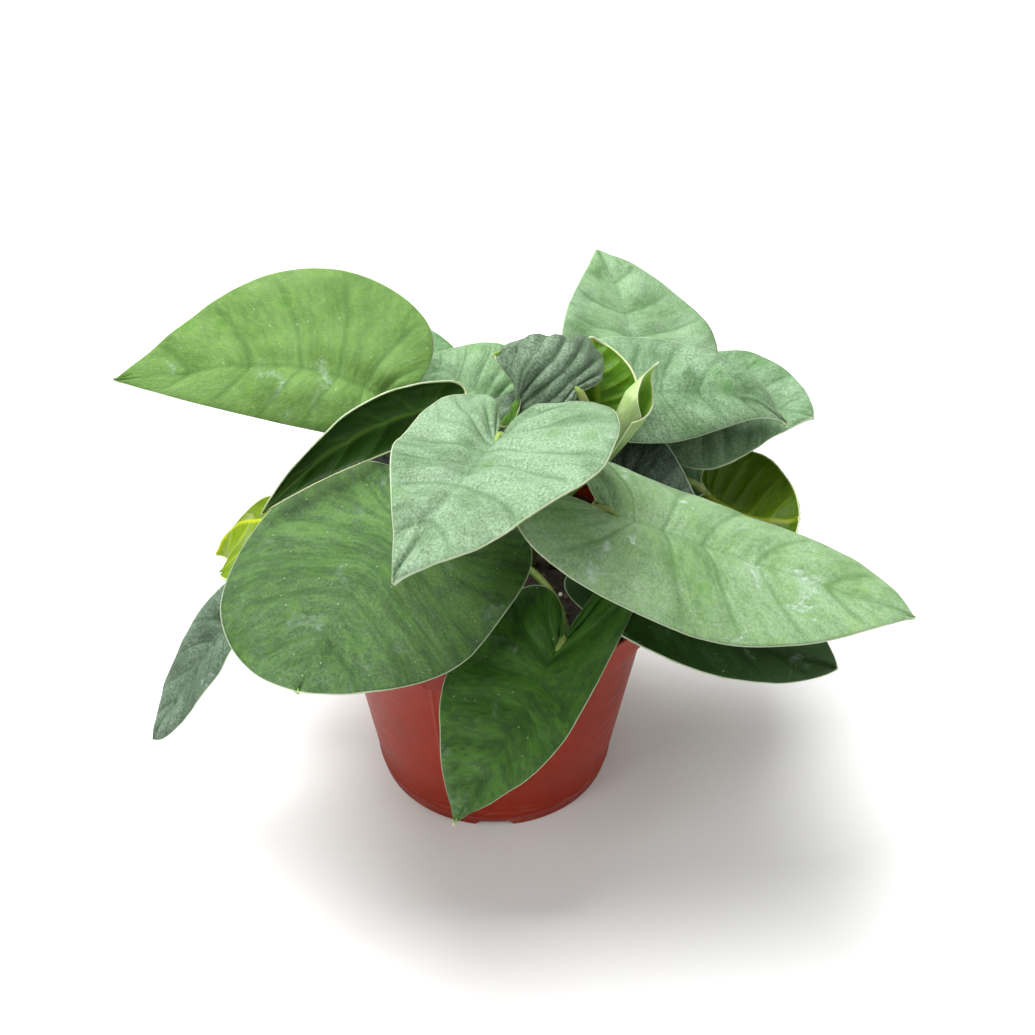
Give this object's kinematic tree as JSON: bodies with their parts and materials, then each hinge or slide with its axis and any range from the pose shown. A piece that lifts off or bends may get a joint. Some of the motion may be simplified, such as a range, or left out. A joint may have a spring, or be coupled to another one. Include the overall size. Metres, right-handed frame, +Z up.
{
  "type": "potted pothos plant",
  "caption": "Round tapered nursery pot filled with soil, holding a low bushy foliage plant of broad pointed satin leaves on curved stalks that spread out over the rim.",
  "frame": {"origin": "centre of the bounding box at its bottom, which is the pot's axis on the plane that the pot's foot stands on", "axes": "+Z up along the pot's axis, -Y towards the front, +X to the right and along the plant's widest spread"},
  "size_m": [0.2532, 0.1732, 0.169],
  "materials": {
    "terracotta_plastic": "satin moulded plastic",
    "peat_soil": "loose damp peat and bark crumbs",
    "leaf_green": "satin leaf skin",
    "stalk_green": "smooth fresh stalk",
    "vine_green": "slightly ribbed green stem"
  },
  "bodies": {
    "root": {"leaf_back_left": "leaf_green", "leaf_back_left_high": "leaf_green", "leaf_back_low": "leaf_green", "leaf_back_right": "leaf_green", "leaf_back_side": "leaf_green", "leaf_centre_back": "leaf_green", "leaf_centre_cupped": "leaf_green", "leaf_centre_rolled": "leaf_green", "leaf_centre_turned": "leaf_green", "leaf_front_high": "leaf_green", "leaf_front_left": "leaf_green", "leaf_front_low": "leaf_green", "leaf_inner": "leaf_green", "leaf_left_folded": "leaf_green", "leaf_left_high": "leaf_green", "leaf_left_narrow": "leaf_green", "leaf_left_turned": "leaf_green", "leaf_right_high": "leaf_green", "leaf_right_low": "leaf_green", "leaf_right_outer": "leaf_green", "leaf_right_small": "leaf_green", "leaf_right_turned": "leaf_green", "leaf_right_under": "leaf_green", "leaf_spear": "leaf_green", "leaf_top": "leaf_green", "pot": "terracotta_plastic", "soil": "peat_soil", "stalk_back_left": "stalk_green", "stalk_back_left_high": "stalk_green", "stalk_back_low": "stalk_green", "stalk_back_right": "stalk_green", "stalk_back_side": "stalk_green", "stalk_centre_back": "stalk_green", "stalk_centre_cupped": "stalk_green", "stalk_centre_rolled": "stalk_green", "stalk_centre_turned": "stalk_green", "stalk_front_high": "stalk_green", "stalk_front_left": "stalk_green", "stalk_front_low": "stalk_green", "stalk_inner": "stalk_green", "stalk_left_folded": "stalk_green", "stalk_left_high": "stalk_green", "stalk_left_narrow": "stalk_green", "stalk_left_turned": "stalk_green", "stalk_right_high": "stalk_green", "stalk_right_low": "stalk_green", "stalk_right_outer": "stalk_green", "stalk_right_small": "stalk_green", "stalk_right_turned": "stalk_green", "stalk_right_under": "stalk_green", "stalk_top": "stalk_green", "vine_back": "vine_green", "vine_centre": "vine_green", "vine_front": "vine_green", "vine_left": "vine_green", "vine_middle": "vine_green", "vine_right": "vine_green"}
  },
  "joints": []
}
